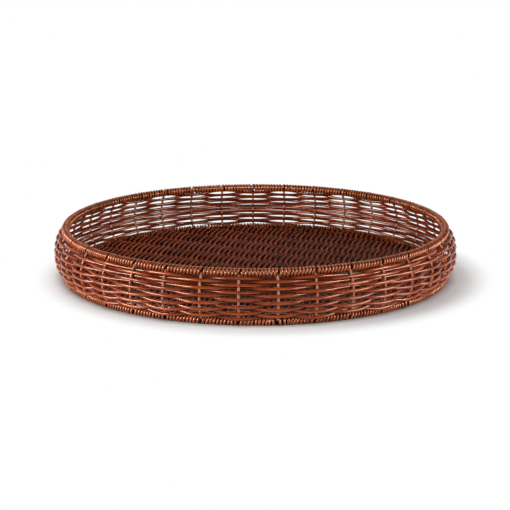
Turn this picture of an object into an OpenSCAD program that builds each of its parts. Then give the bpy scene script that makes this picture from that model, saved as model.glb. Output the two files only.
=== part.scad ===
// Round woven bread basket: two bound hoops, upright stakes, one long side weaver
// and a woven base mat. Millimetres, +Z up, origin on the table under the middle.

/* [Frame] */
// Diameter of the top hoop, through the middle of its wire
top_hoop_d = 300; // [240:1:380]
// Diameter of the base hoop, through the middle of its wire
base_hoop_d = 301; // [240:1:380]
// Height of the top of the rim above the table
overall_h = 41.5; // [36:0.5:56]
// How far the stakes swell out past the hoops at mid height
wall_swell = 6.6; // [4:0.1:9]
// Thickness of the top hoop's wire
top_wire_d = 2.2; // [1.6:0.1:4]
// Thickness of the base hoop's wire
base_wire_d = 2; // [1.2:0.1:3]
// Number of stakes, odd so that one weaver alternates by itself
stakes = 35; // [25:2:41]
// Thickness of a stake
stake_d = 1.8; // [1.2:0.1:2.6]
// Direction of the first stake, seen from above
stake_turn = 8.5; // [0:0.5:10]

/* [Cane] */
// Thickness of the side weaver
weaver_d = 2.2; // [1.5:0.05:2.8]
// Least room between two rounds of the side weaver
round_gap = 0.2; // [0.1:0.05:1]
// How far a round drops where it passes outside a stake, and rises where it passes inside
pass_drop = 0.2; // [0:0.05:0.6]
// Thickness of the cane bound round both hoops
binding_d = 2; // [1.4:0.05:2.8]
// Depth of the flat that the foot stands on
foot_flat = 0.5; // [0.3:0.05:0.8]

/* [Base mat] */
// Number of ribs across the base
ribs = 10; // [6:1:12]
// Thickness of a rib
rib_d = 1.2; // [1:0.1:2.6]
// Direction of the ribs, seen from above
rib_turn = -29; // [-40:1:0]
// Thickness of a base strand
strand_d = 2; // [1.5:0.05:2.6]
// Room between two base strands
strand_gap = 0.37; // [0.2:0.01:1.5]
// Direction of the base strands, seen from above
strand_turn = 75; // [60:1:90]
// Bare edge beside the outermost strands
mat_edge = 3.5; // [2:0.5:12]

/* [Fits] */
// Room between pieces that seat on each other
fit_gap = 0.15; // [0.05:0.05:0.3]
// Room between the base mat and the table
floor_gap = 0.3; // [0.1:0.1:2]
// Slack between the side weaver and the stakes it passes
weave_slack = 0.4; // [0.1:0.05:0.6]

/* [Hidden] */
round_fn = 96;
weaver_sides = 6;
strand_sides = 4;
cane_colour = "#9c5230";
mat_colour = "#6d3420";
wire_colour = "#3a2118";
stake_colour = "#6b3a22";

// Hoops and the cane bound round them
top_bound_r = top_wire_d / 2 + fit_gap + binding_d;
base_bound_r = base_wire_d / 2 + fit_gap + binding_d;
top_at = [top_hoop_d / 2, overall_h - top_bound_r];
base_at = [base_hoop_d / 2, base_bound_r - foot_flat];

// Wall curve: one arc through both hoops, in the plane of radius and height
chord = top_at - base_at;
chord_l = norm(chord);
outward = [chord[1], -chord[0]] / chord_l;
wall_r = chord_l * chord_l / (8 * wall_swell) + wall_swell / 2;
wall_c = (top_at + base_at) / 2 + outward * (wall_swell - wall_r);
base_phi = atan2(base_at[1] - wall_c[1], base_at[0] - wall_c[0]);
top_phi = atan2(top_at[1] - wall_c[1], top_at[0] - wall_c[0]);
deg_per_mm = 180 / (PI * wall_r);

// Side weaver: level rounds, with the step up to the next round at the right-hand side
first_row_phi = base_phi + (base_bound_r + weaver_d / 2 + round_gap) * deg_per_mm;
last_row_phi = top_phi - (top_bound_r + weaver_d / 2 + round_gap) * deg_per_mm;
row_room = (last_row_phi - first_row_phi) / deg_per_mm;
rounds = floor(row_room / (weaver_d + round_gap)) + 1;
row_step = (last_row_phi - first_row_phi) / (rounds - 1);
weave_reach = (stake_d + weaver_d) / 2 + weave_slack;

// Base mat
weave_lift = (rib_d + strand_d) / 2 + fit_gap;
mat_z = floor_gap + strand_d / 2 + weave_lift;
mat_r = base_at[0] - base_bound_r - fit_gap;
rib_reach = base_at[0] - base_wire_d / 2 - fit_gap;
// Rib steps between the outermost rib and the edge of the mat, as a ratio
edge_ratio = 1.15;
rib_step = 2 * mat_r / (ribs - 1 + 2 * edge_ratio);
strand_pitch = strand_d + strand_gap;
strands_a_side = floor((mat_r - mat_edge - strand_d / 2) / strand_pitch);
skew = rib_turn - strand_turn;

function two_digits(i) = str(i < 10 ? "0" : "", i);
function stake_name(i) = str("stake_", two_digits(i + 1));
function rib_name(i) = str("base_rib_", two_digits(i + 1));

function stake_angle(i) = stake_turn + i * 360 / stakes;
function wall_point(phi, off) = wall_c + (wall_r + off) * [cos(phi), sin(phi)];

// Tubes swept as rings of points, several tubes to one list
function ring_faces(from, sides) = [
    for (j = [0:sides - 1])
        let (k = (j + 1) % sides)
        each [
            [from + j, from + k, from + sides + k],
            [from + j, from + sides + k, from + sides + j]
        ]
];
function cap_faces(from, sides, flip) = [
    for (j = [1:sides - 2])
        flip ? [from, from + j + 1, from + j] : [from, from + j, from + j + 1]
];
function tube_faces(from, rings, sides) = concat(
    cap_faces(from, sides, true),
    [for (i = [0:rings - 2]) each ring_faces(from + i * sides, sides)],
    cap_faces(from + (rings - 1) * sides, sides, false)
);
function running_sum(list, i = 0, sum = 0) =
    i == len(list) ? [] : concat([sum], running_sum(list, i + 1, sum + list[i]));

// One crossing of the side weaver: outside a stake at odd crossings, inside at even ones
function weaver_ring(crossing) =
    let (
        round_no = floor(crossing / stakes),
        turn = stake_angle(crossing % stakes),
        phi = first_row_phi + round_no * row_step,
        side = crossing % 2 == 1 ? 1 : -1,
        at = wall_point(phi, side * weave_reach) + side * pass_drop * [sin(phi), -cos(phi)]
    )
    [
        for (j = [0:weaver_sides - 1])
            let (
                a = phi - j * 360 / weaver_sides,
                r = at[0] + weaver_d / 2 * cos(a),
                z = at[1] + weaver_d / 2 * sin(a)
            )
            [r * cos(turn), r * sin(turn), z]
    ];

// Base ribs and strands: offsets sideways from the middle, and the strand's rise at each rib
function rib_offset(i) = (i - (ribs - 1) / 2) * rib_step;
function rib_half(i) =
    let (edge = abs(rib_offset(i)) + rib_d / 2)
    sqrt(rib_reach * rib_reach - edge * edge);
function rib_index(along, off) = (off * cos(skew) - along * sin(skew)) / rib_step + (ribs - 1) / 2;
function rib_along(index, off) = (rib_offset(index) - off * cos(skew)) / -sin(skew);
function peak(index, strand) = abs(index + strand) % 2 == 0 ? weave_lift : -weave_lift;
function rise(index, strand) =
    let (low = floor(index), part = index - floor(index))
    peak(low, strand) * (1 - part) + peak(low + 1, strand) * part;
function strand_half(off) =
    let (edge = abs(off) + strand_d / 2)
    sqrt(mat_r * mat_r - edge * edge);
function strand_path(strand) =
    let (
        off = strand * strand_pitch,
        half = strand_half(off),
        from = rib_index(-half, off),
        to = rib_index(half, off),
        clear = strand_d / rib_step
    )
    concat(
        [[-half, off, rise(from, strand)]],
        [for (i = [ceil(from + clear):floor(to - clear)]) [rib_along(i, off), off, peak(i, strand)]],
        [[half, off, rise(to, strand)]]
    );
function strand_rings(strand) = [
    for (p = strand_path(strand))
        for (j = [0:strand_sides - 1])
            let (a = j * 360 / strand_sides)
            [p[0], p[1] + strand_d / 2 * cos(a), mat_z + p[2] + strand_d / 2 * sin(a)]
];

module hoop(at, wire_d)
    rotate_extrude($fn = round_fn)
        translate(at)
            circle(d = wire_d, $fn = round_fn);

module sleeve(at, wire_d, bound_r)
    rotate_extrude($fn = round_fn)
        translate(at)
            difference() {
                circle(r = bound_r, $fn = round_fn);
                circle(r = wire_d / 2 + fit_gap, $fn = round_fn);
            }

// Ways through a binding for the stake ends, from the hoop's wire outwards
module stake_ways(at, next_at, depth)
    for (i = [0:stakes - 1])
        rotate([0, 0, stake_angle(i)])
            translate([at[0], 0, at[1]])
                rotate([0, atan2(next_at[0] - at[0], next_at[1] - at[1]), 0])
                    cylinder(d = stake_d + 2 * fit_gap, h = depth, $fn = round_fn);

module rib_rod(i, d, extra)
    rotate([0, 0, rib_turn])
        translate([-rib_half(i) - extra, rib_offset(i), mat_z])
            rotate([0, 90, 0])
                cylinder(d = d, h = 2 * (rib_half(i) + extra), $fn = round_fn);

module top_hoop() color(wire_colour) hoop(top_at, top_wire_d);

module base_hoop() color(wire_colour) hoop(base_at, base_wire_d);

module top_binding()
    color(cane_colour)
        difference() {
            sleeve(top_at, top_wire_d, top_bound_r);
            stake_ways(top_at, wall_point(top_phi - top_bound_r * deg_per_mm, 0), 2 * top_bound_r);
        }

module base_binding()
    color(cane_colour)
        difference() {
            sleeve(base_at, base_wire_d, base_bound_r);
            stake_ways(base_at, wall_point(base_phi + base_bound_r * deg_per_mm, 0), 2 * base_bound_r);
            for (i = [0:ribs - 1])
                rib_rod(i, rib_d + 2 * fit_gap, fit_gap);
            translate([0, 0, -base_bound_r])
                cylinder(r = base_at[0] + 2 * base_bound_r, h = base_bound_r, $fn = round_fn);
        }

module stake(i) {
    from = base_phi + (base_wire_d / 2 + fit_gap) * deg_per_mm;
    to = top_phi - (top_wire_d / 2 + fit_gap) * deg_per_mm;
    color(stake_colour)
        rotate([0, 0, stake_angle(i)])
            translate([wall_c[0], 0, wall_c[1]])
                rotate([90, 0, 0])
                    rotate([0, 0, from])
                        rotate_extrude(angle = to - from, $fn = round_fn)
                            translate([wall_r, 0])
                                circle(d = stake_d, $fn = round_fn);
}

module side_weaver() {
    crossings = stakes * rounds;
    color(cane_colour)
        polyhedron(
            points = [for (m = [0:crossings - 1]) each weaver_ring(m)],
            faces = tube_faces(0, crossings, weaver_sides)
        );
}

module base_strands(list) {
    rings = [for (s = list) strand_rings(s)];
    starts = running_sum([for (r = rings) len(r)]);
    color(mat_colour)
        rotate([0, 0, strand_turn])
            polyhedron(
                points = [for (r = rings) each r],
                faces = [
                    for (i = [0:len(list) - 1])
                        each tube_faces(starts[i], len(rings[i]) / strand_sides, strand_sides)
                ]
            );
}

module base_strands_odd()
    base_strands([for (s = [-strands_a_side:strands_a_side]) if (abs(s) % 2 == 1) s]);

module base_strands_even()
    base_strands([for (s = [-strands_a_side:strands_a_side]) if (s % 2 == 0) s]);

module base_rib(i) color(stake_colour) rib_rod(i, rib_d, 0);

top_hoop();
top_binding();
base_hoop();
base_binding();
side_weaver();
base_strands_odd();
base_strands_even();
for (i = [0:stakes - 1])
    stake(i);
for (i = [0:ribs - 1])
    base_rib(i);
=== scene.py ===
"""Round bread basket woven from glossy brown cane: the looks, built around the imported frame."""
import math
from collections import namedtuple

import bpy
import numpy as np
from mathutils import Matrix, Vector


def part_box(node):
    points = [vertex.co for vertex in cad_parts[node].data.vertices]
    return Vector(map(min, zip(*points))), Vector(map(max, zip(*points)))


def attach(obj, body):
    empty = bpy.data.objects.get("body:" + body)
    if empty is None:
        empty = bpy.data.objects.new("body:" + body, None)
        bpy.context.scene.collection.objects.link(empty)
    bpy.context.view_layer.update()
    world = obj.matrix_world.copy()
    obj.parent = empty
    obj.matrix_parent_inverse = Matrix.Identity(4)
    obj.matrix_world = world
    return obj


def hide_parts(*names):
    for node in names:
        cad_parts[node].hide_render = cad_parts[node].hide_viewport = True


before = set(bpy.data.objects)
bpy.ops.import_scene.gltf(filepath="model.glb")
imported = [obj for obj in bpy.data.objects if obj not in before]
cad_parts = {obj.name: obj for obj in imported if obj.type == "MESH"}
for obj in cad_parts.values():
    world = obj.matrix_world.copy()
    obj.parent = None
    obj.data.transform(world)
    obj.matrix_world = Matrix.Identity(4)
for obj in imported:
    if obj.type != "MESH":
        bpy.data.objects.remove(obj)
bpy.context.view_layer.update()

# Lengths are in millimetres and angles in radians, unless a name says otherwise
MM = 0.001
BODY = "root"
FIRST_STAKE = "stake_01"
SEAT_GAP = 0.15  # clearance of a strand at a rib or at the foot binding
Hoop = namedtuple("Hoop", "ring_r height bound_r")
Arc = namedtuple("Arc", "centre_r centre_h r base_turn top_turn")
Mat = namedtuple("Mat", "r height lift first_rib rib_step")
Cane = namedtuple("Cane", "path facing tone depth width")
Tubes = namedtuple("Tubes", "points places tones faces ring_counts length")


# Sizes and places taken from the frame
def bound_hoop(wire_node, binding_node):
    """A hoop's ring radius and height, and its binding's reach from the wire's middle."""
    low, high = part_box(wire_node)
    wire_r = (high.z - low.z) / (2 * MM)
    height = (high.z + low.z) / (2 * MM)
    bound_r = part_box(binding_node)[1].z / MM - height
    return Hoop(high.x / MM - wire_r, height, bound_r)


def bearing(node):
    """Direction of a node from the middle, seen from above."""
    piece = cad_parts[node]
    middle = sum((piece.matrix_world @ corner.co for corner in piece.data.vertices), Vector())
    return math.atan2(middle.y, middle.x)


def stake_arc(top, base):
    """The arc that the stakes follow, in the plane of radius and height."""
    turn = bearing(FIRST_STAKE)
    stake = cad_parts[FIRST_STAKE]
    corners = np.array([stake.matrix_world @ corner.co for corner in stake.data.vertices]) / MM
    outward_reach = corners[:, 0] * math.cos(turn) + corners[:, 1] * math.sin(turn)
    sideways = corners[:, 1] * math.cos(turn) - corners[:, 0] * math.sin(turn)
    stake_r = np.ptp(sideways) / 2
    ends = np.array([[base.ring_r, base.height], [top.ring_r, top.height]])
    middle = ends.mean(axis=0)
    swell = outward_reach.max() - stake_r - middle[0]
    chord = ends[1] - ends[0]
    length = np.hypot(*chord)
    outward = np.array([chord[1], -chord[0]]) / length
    radius = length ** 2 / (8 * swell) + swell / 2
    centre = middle + outward * (swell - radius)
    spokes = ends - centre
    base_turn, top_turn = np.arctan2(spokes[:, 1], spokes[:, 0])
    return Arc(centre[0], centre[1], radius, base_turn, top_turn)


top_hoop = bound_hoop("top_hoop", "top_binding")
base_hoop = bound_hoop("base_hoop", "base_binding")
wall = stake_arc(top_hoop, base_hoop)
stakes = sum(name.startswith("stake_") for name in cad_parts)
bay = 2 * math.pi / stakes
first_turn = bearing(FIRST_STAKE)


# Small helpers for paths
def smooth_step(part):
    """A share from 0 to 1, eased at both ends."""
    return part * part * (3 - 2 * part)


def wander(rng, places, spread):
    """Smooth random values at places, with one draw for each whole number between them."""
    first = math.floor(places.min())
    levels = rng.normal(0, spread, math.ceil(places.max()) - first + 2)
    low = np.floor(places - first).astype(int)
    part = smooth_step(places - first - low)
    return levels[low] * (1 - part) + levels[low + 1] * part


def ring_points(turn, radius, height):
    """Points at these turns round the middle, with their radii and heights."""
    return np.stack([radius * np.cos(turn), radius * np.sin(turn), height], axis=1)


# Cane meshes
DOME = ((0.1, 1.0), (0.55, 0.84), (0.88, 0.45))  # share of the thickness, reach past the end
STRAND_OFFSET = 37.0  # moves the streaks on from strand to strand
STRIP_MARGIN = 0.06  # share of a strip that stays free on each side


def with_domes(cane):
    """A cane's rings with shrinking ones added at each end, and each ring's share of the thickness."""
    path, facing, tone = cane.path, cane.facing, cane.tone
    start = path[0] - path[1]
    end = path[-1] - path[-2]
    start /= np.linalg.norm(start)
    end /= np.linalg.norm(end)
    shares = [share for share, reach in DOME]
    heads = [path[0] + start * cane.depth * reach for share, reach in DOME]
    tails = [path[-1] + end * cane.depth * reach for share, reach in reversed(DOME)]
    size = np.concatenate([shares, np.ones(len(path)), shares[::-1]])
    path = np.concatenate([heads, path, tails])
    facing = np.concatenate([facing[:1]] * len(DOME) + [facing] + [facing[-1:]] * len(DOME))
    tone = np.concatenate([tone[:1]] * len(DOME) + [tone] + [tone[-1:]] * len(DOME))
    return path, facing, tone, size


def cane_rings(cane, sides):
    """Points of a cane's rings, their places along, through and across the cane, and their tone."""
    path, facing, tone, size = with_domes(cane)
    ahead = np.gradient(path, axis=0)
    ahead /= np.linalg.norm(ahead, axis=1, keepdims=True)
    across = np.cross(ahead, facing)
    across /= np.linalg.norm(across, axis=1, keepdims=True)
    outward = np.cross(across, ahead)
    angle = 2 * math.pi * np.arange(sides) / sides
    deep = size[:, None] * cane.depth * np.cos(angle)
    wide = size[:, None] * cane.width * np.sin(angle)
    points = path[:, None] + deep[..., None] * outward[:, None] + wide[..., None] * across[:, None]
    along = np.concatenate([[0], np.cumsum(np.linalg.norm(np.diff(path, axis=0), axis=1))])
    lengthwise = np.repeat(along[:, None], sides, axis=1)
    return points, np.stack([lengthwise, deep, wide], axis=2), np.repeat(tone[:, None], sides, axis=1)


def joined_tubes(canes, sides):
    """Closed tubes for several canes, as one set of points and faces."""
    points, places, tones, faces, ring_counts = [], [], [], [], []
    start = 0
    length = 0.0
    near = np.arange(sides)
    far = (near + 1) % sides
    for number, cane in enumerate(canes):
        rings, cane_places, cane_tone = cane_rings(cane, sides)
        count = len(rings)
        ring = start + sides * np.arange(count - 1)[:, None]
        quads = np.stack([ring + near, ring + far, ring + sides + far, ring + sides + near], axis=2)
        faces.extend(quads.reshape(-1, 4).tolist())
        faces.append((start + near[::-1]).tolist())
        faces.append((start + sides * (count - 1) + near).tolist())
        length += cane_places[-1, 0, 0]
        cane_places[..., 0] += number * STRAND_OFFSET
        points.append(rings.reshape(-1, 3))
        places.append(cane_places.reshape(-1, 3))
        tones.append(cane_tone.ravel())
        ring_counts.append(count)
        start += sides * count
    joined = [np.concatenate(rows) for rows in (points, places, tones)]
    return Tubes(*joined, faces, ring_counts, length)


def strip_map(mesh, tubes, sides, girth):
    """A bake map: the canes laid side by side as flat strips that fill the square."""
    segments = sum(count - 1 for count in tubes.ring_counts)
    strips = max(1, round(math.sqrt(tubes.length / girth)))
    per_strip = math.ceil(segments / strips)
    number = np.arange(segments)
    left = np.repeat((number % per_strip)[:, None] / per_strip, sides, axis=1)
    right = left + 1 / per_strip
    edge = STRIP_MARGIN + (1 - 2 * STRIP_MARGIN) * np.arange(sides + 1) / sides
    level = (number[:, None] // per_strip + edge) / strips
    low, high = level[:, :-1], level[:, 1:]
    quads = np.stack([left, low, left, high, right, high, right, low], axis=2)
    done = 0
    pieces = []
    for count in tubes.ring_counts:
        last = done + count - 2
        pieces.append(quads[done:last + 1].reshape(-1, 2))
        pieces.append(np.repeat(quads[done, :1, :2], sides, axis=0))
        pieces.append(np.repeat(quads[last, :1, 4:6], sides, axis=0))
        done += count - 1
    layer = mesh.uv_layers.new(name="OFBake", do_init=False)
    layer.uv.foreach_set("vector", np.concatenate(pieces).astype(np.float32).ravel())


def cane_piece(name, canes, sides, finish, node, floor=None):
    """One visible piece made of round canes, which stands for a node of the frame."""
    tubes = joined_tubes(canes, sides)
    points = tubes.points
    if floor is not None:
        points[:, 2] = np.maximum(points[:, 2], floor)
    mesh = bpy.data.meshes.new(name)
    mesh.from_pydata((points * MM).tolist(), [], tubes.faces)
    places = mesh.attributes.new("cane", "FLOAT_VECTOR", "POINT")
    places.data.foreach_set("vector", tubes.places.astype(np.float32).ravel())
    tones = mesh.attributes.new("tone", "FLOAT", "POINT")
    tones.data.foreach_set("value", tubes.tones.astype(np.float32))
    strip_map(mesh, tubes, sides, 2 * math.pi * canes[0].depth)
    mesh.shade_smooth()
    mesh.materials.append(finish)
    piece = bpy.data.objects.new(name, mesh)
    bpy.context.scene.collection.objects.link(piece)
    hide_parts(node)
    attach(piece, BODY)


# Shader nodes
class Sock:
    """A shader value that adds Math nodes when it is used in an expression."""

    def __init__(self, sheet, socket):
        self.sheet = sheet
        self.socket = socket

    def math(self, operation, first, second):
        return self.sheet.node("ShaderNodeMath", {"operation": operation}, {0: first, 1: second})

    def __add__(self, other):
        return self.math("ADD", self, other)

    def __radd__(self, other):
        return self.math("ADD", other, self)

    def __sub__(self, other):
        return self.math("SUBTRACT", self, other)

    def __rsub__(self, other):
        return self.math("SUBTRACT", other, self)

    def __mul__(self, other):
        return self.math("MULTIPLY", self, other)

    def __rmul__(self, other):
        return self.math("MULTIPLY", other, self)


class Sheet:
    """The node tree of a material or of the world."""

    def __init__(self, owner):
        owner.use_nodes = True
        self.owner = owner
        self.tree = owner.node_tree
        self.tree.nodes.clear()

    def node(self, kind, settings=None, sockets=None, out=0):
        """Any node: its settings, its inputs as values or links, and the output that is handed on."""
        made = self.tree.nodes.new(kind)
        for key, value in (settings or {}).items():
            if key == "stops":
                set_stops(made.color_ramp, value)
            else:
                setattr(made, key, value)
        for key, value in (sockets or {}).items():
            if isinstance(value, Sock):
                self.tree.links.new(value.socket, made.inputs[key])
            else:
                made.inputs[key].default_value = value
        return Sock(self, made.outputs[out]) if made.outputs else None

    def noise(self, vector, scale, detail=3.0, roughness=0.55):
        return self.node("ShaderNodeTexNoise", None, {
            "Vector": vector, "Scale": scale, "Detail": detail, "Roughness": roughness})

    def stretch(self, vector, factors):
        return self.node("ShaderNodeVectorMath", {"operation": "MULTIPLY"}, {0: vector, 1: factors})

    def blend(self, share, first, second):
        settings = {"data_type": "RGBA", "clamp_factor": True}
        return self.node("ShaderNodeMix", settings, {0: share, 6: first, 7: second}, out=2)

    def smooth_range(self, value, start, full):
        """0 where value is at start and 1 where it is at full, smooth between them."""
        sockets = {"Value": value, "From Min": start, "From Max": full}
        return self.node("ShaderNodeMapRange", {"interpolation_type": "SMOOTHSTEP"}, sockets)

    def ramp(self, value, places, colours):
        return self.node("ShaderNodeValToRGB", {"stops": list(zip(places, colours))}, {"Fac": value})

    def bump(self, height, strength, distance):
        sockets = {"Height": height, "Strength": strength, "Distance": distance}
        return self.node("ShaderNodeBump", None, sockets)


def set_stops(ramp, stops):
    """Give a colour ramp these places and colours."""
    while len(ramp.elements) < len(stops):
        ramp.elements.new(1.0)
    for element, (place, colour) in zip(ramp.elements, stops):
        element.position = place
        element.color = colour


def srgb(red, green, blue):
    """A colour as it is seen on a screen, 0 to 255, turned to shader values."""
    shares = [level / 255 for level in (red, green, blue)]
    linear = [s / 12.92 if s <= 0.04045 else ((s + 0.055) / 1.055) ** 2.4 for s in shares]
    return (*linear, 1.0)


def new_sheet(name):
    return Sheet(bpy.data.materials.new(name))


# Finishes
WARM_GLOSS = (1.0, 0.60, 0.42, 1.0)
STREAK_STRETCH = (0.035, 1.5, 1.5)  # along, through and across the cane
BLOTCH_STRETCH = (0.22, 0.5, 0.5)
LINE_STRETCH = (0.05, 5.0, 5.0)
STREAK_SHARE = 0.55
BLOTCH_SHARE = 0.45
CANE_STOPS = (0.30, 0.50, 0.72)
LINE_ROUGHNESS = 0.10
SCUFF_ROUGHNESS = 0.08
LINE_RELIEF = 0.6
STREAK_RELIEF = 0.4
CANE_BUMP_STRENGTH = 0.04
CANE_BUMP_HEIGHT = 0.12 * MM
# Colour of the painted shade in the grooves between a wound cane's turns
GROOVE_SHADE_COLOUR = srgb(34, 12, 6)
GROOVE_EDGES = (0.5, 1.0)
ROD_STOPS = (0.34, 0.66)
ROD_SPECK_SCALE = 900.0
ROD_STREAK_SHARE = 0.7
ROD_SPECK_SHARE = 0.3
SPECK_ROUGHNESS = 0.2
ROD_GLOSS = 0.25
ROD_BUMP_STRENGTH = 0.3
ROD_BUMP_HEIGHT = 0.1 * MM


def cane_finish(name, tones, roughness, gloss, painted_groove_shade=0.0):
    """Extruded plastic cane: fine streaks, slow changes of tone, drawn lines and a soft gloss.

    The tone attribute also carries painted shade for some canes. A wound cane gets painted shade in the
    grooves between its turns, with the last argument as its strength.
    """
    sheet = new_sheet(name)
    cane = sheet.node("ShaderNodeAttribute", {"attribute_name": "cane"}, out="Vector")
    tone = sheet.node("ShaderNodeAttribute", {"attribute_name": "tone"}, out="Fac")
    streaks = sheet.noise(sheet.stretch(cane, STREAK_STRETCH), scale=2.0, detail=4.0)
    blotches = sheet.noise(sheet.stretch(cane, BLOTCH_STRETCH), scale=1.0, detail=2.0)
    lines = sheet.noise(sheet.stretch(cane, LINE_STRETCH), scale=2.2, detail=3.0)
    scuffs = sheet.noise(cane, scale=1.6, detail=5.0, roughness=0.65)
    shade = streaks * STREAK_SHARE + blotches * BLOTCH_SHARE + tone
    colour = sheet.ramp(shade, CANE_STOPS, tones)
    # Painted shade, darker towards the edges of each turn
    if painted_groove_shade:
        across = sheet.node("ShaderNodeSeparateXYZ", None, {"Vector": cane}, out="Z")
        off_middle = sheet.node("ShaderNodeMath", {"operation": "ABSOLUTE"}, {0: across})
        groove_shade_share = sheet.smooth_range(off_middle, *GROOVE_EDGES) * painted_groove_shade
        colour = sheet.blend(groove_shade_share, colour, GROOVE_SHADE_COLOUR)
    rough = roughness + (lines - 0.5) * LINE_ROUGHNESS + (scuffs - 0.5) * SCUFF_ROUGHNESS
    height = lines * LINE_RELIEF + streaks * STREAK_RELIEF
    shader = sheet.node("ShaderNodeBsdfPrincipled", None, {
        "Base Color": colour,
        "Roughness": rough,
        "Specular IOR Level": gloss,
        "Specular Tint": WARM_GLOSS,
        "Normal": sheet.bump(height, CANE_BUMP_STRENGTH, CANE_BUMP_HEIGHT),
    })
    sheet.node("ShaderNodeOutputMaterial", None, {"Surface": shader})
    return sheet.owner


def rod_finish(name, tones, roughness, streak_scales):
    """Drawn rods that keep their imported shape: streaks along the rod, specks and a soft gloss."""
    sheet = new_sheet(name)
    place = sheet.node("ShaderNodeTexCoord", None, None, out="Object")
    streaks = sheet.noise(sheet.stretch(place, streak_scales), scale=1.0, detail=4.0)
    specks = sheet.noise(place, ROD_SPECK_SCALE, detail=4.0, roughness=0.6)
    colour = sheet.ramp(streaks * ROD_STREAK_SHARE + specks * ROD_SPECK_SHARE, ROD_STOPS, tones)
    shader = sheet.node("ShaderNodeBsdfPrincipled", None, {
        "Base Color": colour,
        "Roughness": roughness + (specks - 0.5) * SPECK_ROUGHNESS,
        "Specular IOR Level": ROD_GLOSS,
        "Specular Tint": WARM_GLOSS,
        "Normal": sheet.bump(streaks, ROD_BUMP_STRENGTH, ROD_BUMP_HEIGHT),
    })
    sheet.node("ShaderNodeOutputMaterial", None, {"Surface": shader})
    return sheet.owner


# The darkest wall and mat tones also colour painted shade: the weaver's inner passes and the mat strands
# under a rib
wall_tones = (srgb(69, 19, 5), srgb(117, 40, 9), srgb(147, 63, 21))
binding_tones = (srgb(90, 34, 13), srgb(144, 67, 31), srgb(174, 93, 50))
mat_tones = (srgb(34, 7, 3), srgb(126, 50, 24), srgb(147, 67, 37))
stake_tones = (srgb(140, 78, 56), srgb(188, 130, 104))
# The ribs are coloured dark as painted shade, so the gaps between the mat strands read black
rib_tones = (srgb(42, 12, 7), srgb(74, 26, 15))
hoop_tones = (srgb(30, 16, 11), srgb(62, 34, 24))
wall_cane = cane_finish("wall_cane", wall_tones, roughness=0.2, gloss=1.0)
# The bindings get painted shade in the grooves between their turns
binding_cane = cane_finish("binding_cane", binding_tones, roughness=0.2, gloss=1.0, painted_groove_shade=0.85)
mat_cane = cane_finish("mat_cane", mat_tones, roughness=0.3, gloss=0.04)
stake_rod = rod_finish("stake_rod", stake_tones, roughness=0.26, streak_scales=(900.0, 900.0, 60.0))
rib_rod = rod_finish("rib_rod", rib_tones, roughness=0.4, streak_scales=(400.0, 400.0, 400.0))
hoop_wire = rod_finish("hoop_wire", hoop_tones, roughness=0.42, streak_scales=(300.0, 300.0, 300.0))


# Side weaver
ROUNDS = 13
WEAVER_R = 1.1
WEAVER_WIDTH = 1.2
WEAVER_SIDES = 10
WEAVER_STEPS = 12
ROUND_GAP = 0.2
FOOT_PRESS = 0.15  # the bindings push the next rounds away
RIM_PRESS = 0.3
WEAVE_REACH = 2.05  # swing to each side of the stakes' middle
SQUARENESS = 0.25  # flattens the swings
PASS_DROP = 0.3  # outer passes hang lower and inner ones higher
PASS_SWAY = 0.08
PASS_BOB = 0.09
OUTER_TONE = 0.08
# Painted shade on the passes inside the stakes, as a drop in tone
INNER_PAINTED_SHADE = 0.28
CANE_TONE_SPREAD = 0.05
CROSSINGS_A_TONE = 3  # stakes passed before the tone has changed


def side_weaver(rng):
    """One long cane round the wall, outside each odd crossing and inside each even one."""
    crossing = np.arange(0, ROUNDS * stakes - 1 + 0.5 / WEAVER_STEPS, 1 / WEAVER_STEPS)
    turn = first_turn + crossing * bay
    round_no = np.floor(crossing / stakes)
    step_up = smooth_step(np.clip(crossing - round_no * stakes - (stakes - 1), 0, 1))
    first_row = wall.base_turn + (base_hoop.bound_r + WEAVER_R + ROUND_GAP) / wall.r
    last_row = wall.top_turn - (top_hoop.bound_r + WEAVER_R + ROUND_GAP) / wall.r
    row = round_no + step_up
    pressed = np.interp(row, (0, 1, 2, ROUNDS - 3, ROUNDS - 2, ROUNDS - 1),
                        (FOOT_PRESS, FOOT_PRESS / 3, 0, 0, -RIM_PRESS / 3, -RIM_PRESS))
    lean = first_row + row * (last_row - first_row) / (ROUNDS - 1) + pressed / wall.r
    swing = np.cos(math.pi * crossing)
    side = -swing * (1 + SQUARENESS * (1 - swing ** 2))
    out = wall.r + side * WEAVE_REACH + wander(rng, crossing, PASS_SWAY)
    rise = -side * PASS_DROP + wander(rng, crossing, PASS_BOB)
    radius = wall.centre_r + out * np.cos(lean) - rise * np.sin(lean)
    height = wall.centre_h + out * np.sin(lean) + rise * np.cos(lean)
    facing = ring_points(turn, np.cos(lean), np.sin(lean))
    # Painted shade on the passes inside the stakes
    inner = smooth_step((1 - side) / 2)
    tone = wander(rng, crossing / CROSSINGS_A_TONE, CANE_TONE_SPREAD) + OUTER_TONE - INNER_PAINTED_SHADE * inner
    return Cane(ring_points(turn, radius, height), facing, tone, WEAVER_R, WEAVER_WIDTH)


# Rim and foot bindings
TURNS_A_BAY = 10
TURN_STEPS = 16
TURN_SIDES = 8
TURN_DEPTH = 1.05
TURN_LEAN = 0.4
STAKE_PUSH = 0.9  # moves the turns beside a stake along the hoop
FAR_SIDE_PUSH = 0.4  # share of that across the hoop from the stake
STAKE_BUMP = 0.15
BUMP_REACH = 0.2  # share of half a bay
FOOT_JOINS = (math.radians(-83.6), math.radians(-44.3))  # where a new cane starts
JOIN_LENGTH = 5.0
JOIN_LEAN = 1.8
JOIN_SPREAD = 0.45
JOIN_RISE = 0.6


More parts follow.
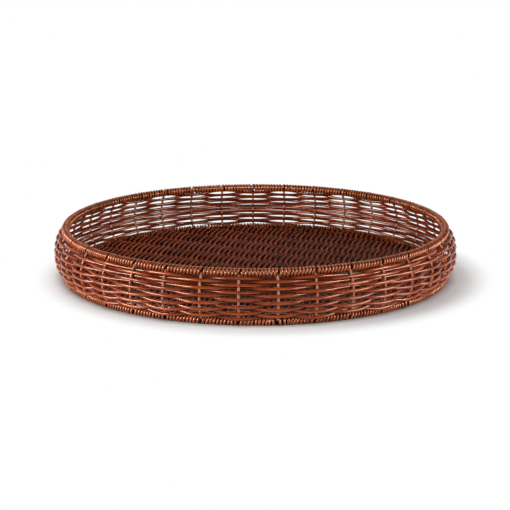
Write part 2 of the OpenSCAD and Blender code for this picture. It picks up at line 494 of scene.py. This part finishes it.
def binding(hoop, stake_side, rng, turn_width, spacing, slant, joins=()):
    """The cane wound round a hoop. Each stake comes in at stake_side and pushes the turns apart there.

    At a join the turns lean the other way and stand out a little.
    """
    place = np.linspace(0, stakes, stakes * TURNS_A_BAY * TURN_STEPS + 1)[:-1]
    around = stake_side + math.pi + 2 * math.pi * TURNS_A_BAY * place
    turn_no = place * TURNS_A_BAY
    from_stake = 2 * (place - np.round(place))
    coil_r = hoop.bound_r - TURN_DEPTH + STAKE_BUMP * np.exp(-(from_stake / BUMP_REACH) ** 2)
    near_stake = (1 + FAR_SIDE_PUSH + (1 - FAR_SIDE_PUSH) * np.cos(around - stake_side)) / 2
    shift = STAKE_PUSH * np.sign(from_stake) * (1 - np.abs(from_stake)) * near_stake
    shift += wander(rng, turn_no, spacing) + (TURN_LEAN + wander(rng, turn_no / 2, slant)) * np.sin(around)
    for join in joins:
        off_join = (first_turn + place * bay - join + math.pi) % (2 * math.pi) - math.pi
        loose = np.exp(-(off_join * hoop.ring_r / JOIN_LENGTH) ** 2)
        shift += JOIN_SPREAD * loose * off_join * hoop.ring_r - JOIN_LEAN * loose * np.sin(around)
        coil_r += JOIN_RISE * loose
    turn = first_turn + place * bay + shift / hoop.ring_r
    radius = hoop.ring_r + coil_r * np.cos(around)
    height = hoop.height + coil_r * np.sin(around)
    facing = ring_points(turn, np.cos(around), np.sin(around))
    tone = wander(rng, turn_no, CANE_TONE_SPREAD)
    return Cane(ring_points(turn, radius, height), facing, tone, TURN_DEPTH, turn_width)


# Base mat
STRAND_TURN = math.radians(75)
RIB_TURN = math.radians(-29)
STRAND_R = 0.6
STRAND_WIDTH = 1.15
STRAND_SIDES = 8
STRAND_STEPS = 12
STRAND_PITCH = 2.37
MAT_EDGE = 3.5  # least width left beside the outermost strand
FLATNESS = 1.1  # over 1 keeps a strand level where it crosses a rib
STRAND_SWAY = 0.05
STRAND_BOB = 0.04
STRAND_TONE_SPREAD = 0.05
LENGTH_TONE_SPREAD = 0.03
RAISED_TONE = 0.05
SUNK_FROM = 0.4  # the painted shade starts here, between 1 on top of a rib and -1 under it
SUNK_PAINTED_SHADE = 0.4
SKEW = RIB_TURN - STRAND_TURN
HEADING = np.array([math.cos(STRAND_TURN), math.sin(STRAND_TURN), 0])
BESIDE = np.array([-math.sin(STRAND_TURN), math.cos(STRAND_TURN), 0])
UP = np.array([0.0, 0.0, 1.0])


def base_mat():
    """Radius and height of the mat, the lift of a strand over a rib, and where the ribs lie."""
    ribs = sorted(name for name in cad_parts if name.startswith("base_rib_"))
    rib_low, rib_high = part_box(ribs[0])
    rib_r = (rib_high.z - rib_low.z) / (2 * MM)
    height = (rib_high.z + rib_low.z) / (2 * MM)
    sideways = np.array([-math.sin(RIB_TURN), math.cos(RIB_TURN)])
    offsets = [np.dot(sum(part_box(rib), Vector()).xy / (2 * MM), sideways) for rib in ribs]
    rib_step = (offsets[-1] - offsets[0]) / (len(ribs) - 1)
    mat_r = base_hoop.ring_r - base_hoop.bound_r - SEAT_GAP
    return Mat(mat_r, height, rib_r + STRAND_R + SEAT_GAP, offsets[0], rib_step)


def mat_strand(mat, number, rng):
    """One strand of the base, woven over and under the ribs, with painted shade on the parts under a rib.
    """
    off = number * STRAND_PITCH
    half = math.sqrt(mat.r ** 2 - (abs(off) + STRAND_R) ** 2)
    steps = math.ceil(2 * half * abs(math.sin(SKEW)) / mat.rib_step * STRAND_STEPS) + 1
    along = np.linspace(-half, half, steps)
    crossing = (off * math.cos(SKEW) - along * math.sin(SKEW) - mat.first_rib) / mat.rib_step
    side = np.clip(FLATNESS * np.cos(math.pi * (crossing + number)), -1, 1)
    rise = mat.lift * np.sin(math.pi / 2 * side) + wander(rng, crossing, STRAND_BOB)
    drift = off + wander(rng, crossing, STRAND_SWAY)
    path = along[:, None] * HEADING + drift[:, None] * BESIDE + (mat.height + rise)[:, None] * UP
    # Painted shade on the parts of the strand that dip under a rib
    sunk = smooth_step(np.clip((SUNK_FROM - side) / (1 + SUNK_FROM), 0, 1))
    strand_tone = rng.normal(0, STRAND_TONE_SPREAD)
    length_tone = wander(rng, crossing / 2, LENGTH_TONE_SPREAD)
    tone = strand_tone + length_tone + RAISED_TONE - SUNK_PAINTED_SHADE * sunk
    return Cane(path, np.repeat(UP[None], steps, axis=0), tone, STRAND_R, STRAND_WIDTH)


def mat_strands(mat, odd, rng):
    """Every second strand of the base."""
    count = math.floor((mat.r - MAT_EDGE - STRAND_R) / STRAND_PITCH)
    return [mat_strand(mat, number, rng) for number in range(-count, count + 1) if number % 2 == odd]


# The pieces
stake_lean_top = wall.top_turn - math.pi / 2
stake_lean_base = wall.base_turn + math.pi / 2
mat = base_mat()
weaver = side_weaver(np.random.default_rng(11))
rim_turns = binding(top_hoop, stake_lean_top, np.random.default_rng(12),
                    turn_width=1.2, spacing=0.06, slant=0.10)
foot_turns = binding(base_hoop, stake_lean_base, np.random.default_rng(13),
                     turn_width=1.02, spacing=0.16, slant=0.30, joins=FOOT_JOINS)
odd_strands = mat_strands(mat, 1, np.random.default_rng(14))
even_strands = mat_strands(mat, 0, np.random.default_rng(15))
cane_piece("side_weave", [weaver], WEAVER_SIDES, wall_cane, "side_weaver")
cane_piece("rim_winding", [rim_turns], TURN_SIDES, binding_cane, "top_binding")
cane_piece("foot_winding", [foot_turns], TURN_SIDES, binding_cane, "base_binding",
           floor=0.0)
cane_piece("mat_strands_odd", odd_strands, STRAND_SIDES, mat_cane, "base_strands_odd")
cane_piece("mat_strands_even", even_strands, STRAND_SIDES, mat_cane, "base_strands_even")

KEPT_FINISHES = {"stake_": stake_rod, "base_rib_": rib_rod, "top_hoop": hoop_wire, "base_hoop": hoop_wire}
for name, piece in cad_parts.items():
    for start, finish in KEPT_FINISHES.items():
        if name.startswith(start):
            piece.data.materials.clear()
            piece.data.materials.append(finish)
            piece.data.shade_smooth()

# Floor, light and camera, in metres
WHITE = (1, 1, 1, 1)
FLOOR_SIZE = 8.0
FLOOR_TONES = ((0.82, 0.82, 0.82, 1), (0.86, 0.86, 0.86, 1))
FLOOR_GRAIN = 40.0
SHADOW_MIDDLE = (0.007, -0.002, 0.0)
GLOW_FROM = 0.156  # from here to GLOW_FULL the floor turns white
GLOW_FULL = 0.184
# A painted contact shadow: the floor's colour goes dark where the basket is close above or beside it
PAINTED_SHADOW_REACH = 0.008
PAINTED_SHADOW_COLOUR = (0.10, 0.075, 0.065, 1)
AMBIENT = 0.05
BACKDROP_TOP = 0.22  # these three are parts of a direction of length 1
BACKDROP_FULL = 0.12
BACKDROP_SIDE = 0.3
LIGHT_AIM = Vector((0, 0, 0.02))


def rays_that_see_white(sheet, mirrored=1.0):
    """1 for camera and transmission rays, mirrored for glossy ones, 0 for those that light the object."""
    kinds = ("Is Camera Ray", "Is Transmission Ray", "Is Glossy Ray")
    seen = [sheet.node("ShaderNodeLightPath", None, None, out=kind) for kind in kinds]
    return seen[0] + seen[1] + seen[2] * mirrored


def floor_finish():
    """A pale matt floor that is plain white away from the foot, and keeps the shadow round it, with a
    painted contact shadow near the foot and under the mat.
    """
    sheet = new_sheet("pale_floor")
    place = sheet.node("ShaderNodeTexCoord", None, None, out="Object")
    ends = {0: place, 1: SHADOW_MIDDLE}
    reach = sheet.node("ShaderNodeVectorMath", {"operation": "DISTANCE"}, ends, out="Value")
    away = sheet.smooth_range(reach, GLOW_FROM, GLOW_FULL)
    grain = sheet.noise(place, FLOOR_GRAIN, detail=3.0)
    pale = sheet.ramp(grain, (0.0, 1.0), FLOOR_TONES)
    # Painted contact shadow near the foot and under the mat
    open_sky = sheet.node("ShaderNodeAmbientOcclusion", None, {"Distance": PAINTED_SHADOW_REACH}, out="AO")
    colour = sheet.blend(open_sky, PAINTED_SHADOW_COLOUR, pale)
    matt = sheet.node("ShaderNodeBsdfDiffuse", None, {"Color": colour})
    glow = sheet.node("ShaderNodeEmission", None, {"Color": WHITE, "Strength": 1.0})
    share = rays_that_see_white(sheet) * away
    mixed = sheet.node("ShaderNodeMixShader", None, {0: share, 1: matt, 2: glow})
    sheet.node("ShaderNodeOutputMaterial", None, {"Surface": mixed})
    return sheet.owner


def studio_floor():
    """A large flat floor at the height of the foot."""
    half = FLOOR_SIZE / 2
    corners = [(-half, -half, 0), (half, -half, 0), (half, half, 0), (-half, half, 0)]
    mesh = bpy.data.meshes.new("floor")
    mesh.from_pydata(corners, [], [(0, 1, 2, 3)])
    mesh.materials.append(floor_finish())
    floor = bpy.data.objects.new("floor", mesh)
    bpy.context.scene.collection.objects.link(floor)


def studio_world():
    """White all round to look at. The cane mirrors a low white backdrop and a dim room in front."""
    world = bpy.data.worlds.new("studio")
    sheet = Sheet(world)
    ambient = sheet.node("ShaderNodeBackground", None, {"Color": WHITE, "Strength": AMBIENT})
    white = sheet.node("ShaderNodeBackground", None, {"Color": WHITE, "Strength": 1.0})
    direction = sheet.node("ShaderNodeTexCoord", None, None, out="Generated")
    rearward = sheet.node("ShaderNodeSeparateXYZ", None, {"Vector": direction}, out="Y")
    upward = sheet.node("ShaderNodeSeparateXYZ", None, {"Vector": direction}, out="Z")
    behind = sheet.smooth_range(rearward, 0.0, BACKDROP_SIDE)
    low = sheet.smooth_range(upward, BACKDROP_TOP, BACKDROP_FULL)
    seen = rays_that_see_white(sheet, mirrored=behind * low)
    mixed = sheet.node("ShaderNodeMixShader", None, {0: seen, 1: ambient, 2: white})
    sheet.node("ShaderNodeOutputWorld", None, {"Surface": mixed})
    bpy.context.scene.world = world


def soft_box(name, place, width, height, power):
    """A soft box light at place, turned towards the basket."""
    light = bpy.data.lights.new(name, "AREA")
    light.shape = "RECTANGLE"
    light.size = width
    light.size_y = height
    light.energy = power
    box = bpy.data.objects.new(name, light)
    box.location = place
    box.rotation_euler = (LIGHT_AIM - Vector(place)).to_track_quat("-Z", "Y").to_euler()
    bpy.context.scene.collection.objects.link(box)


CAMERA_DISTANCE = 1.28
CAMERA_RISE = math.radians(13.93)
CAMERA_AIM = Vector((-0.00031, 0.0, 0.0138))
SENSOR = 36.0
FOCAL_PIXELS = 1601.5
IMAGE_PIXELS = 510


def photo_camera():
    """The camera fitted to the outlines in the photo."""
    lens = bpy.data.cameras.new("camera")
    lens.sensor_fit = "HORIZONTAL"
    lens.sensor_width = SENSOR
    lens.lens = SENSOR * FOCAL_PIXELS / IMAGE_PIXELS
    camera = bpy.data.objects.new("camera", lens)
    back = Vector((0, -math.cos(CAMERA_RISE), math.sin(CAMERA_RISE)))
    camera.location = CAMERA_AIM + back * CAMERA_DISTANCE
    camera.rotation_euler = (-back).to_track_quat("-Z", "Y").to_euler()
    bpy.context.scene.collection.objects.link(camera)
    bpy.context.scene.camera = camera


studio_floor()
studio_world()
soft_box("front_box", (0, -0.9, 0.6), width=0.9, height=0.5, power=0.6)
soft_box("back_box", (0, 0.75, 0.9), width=0.9, height=0.6, power=4.4)
soft_box("left_strip", (-0.86, -0.40, 0.24), width=0.7, height=0.22, power=14.0)
soft_box("right_strip", (0.86, -0.40, 0.24), width=0.7, height=0.22, power=10.5)
photo_camera()
bpy.context.scene.view_settings.view_transform = "Standard"
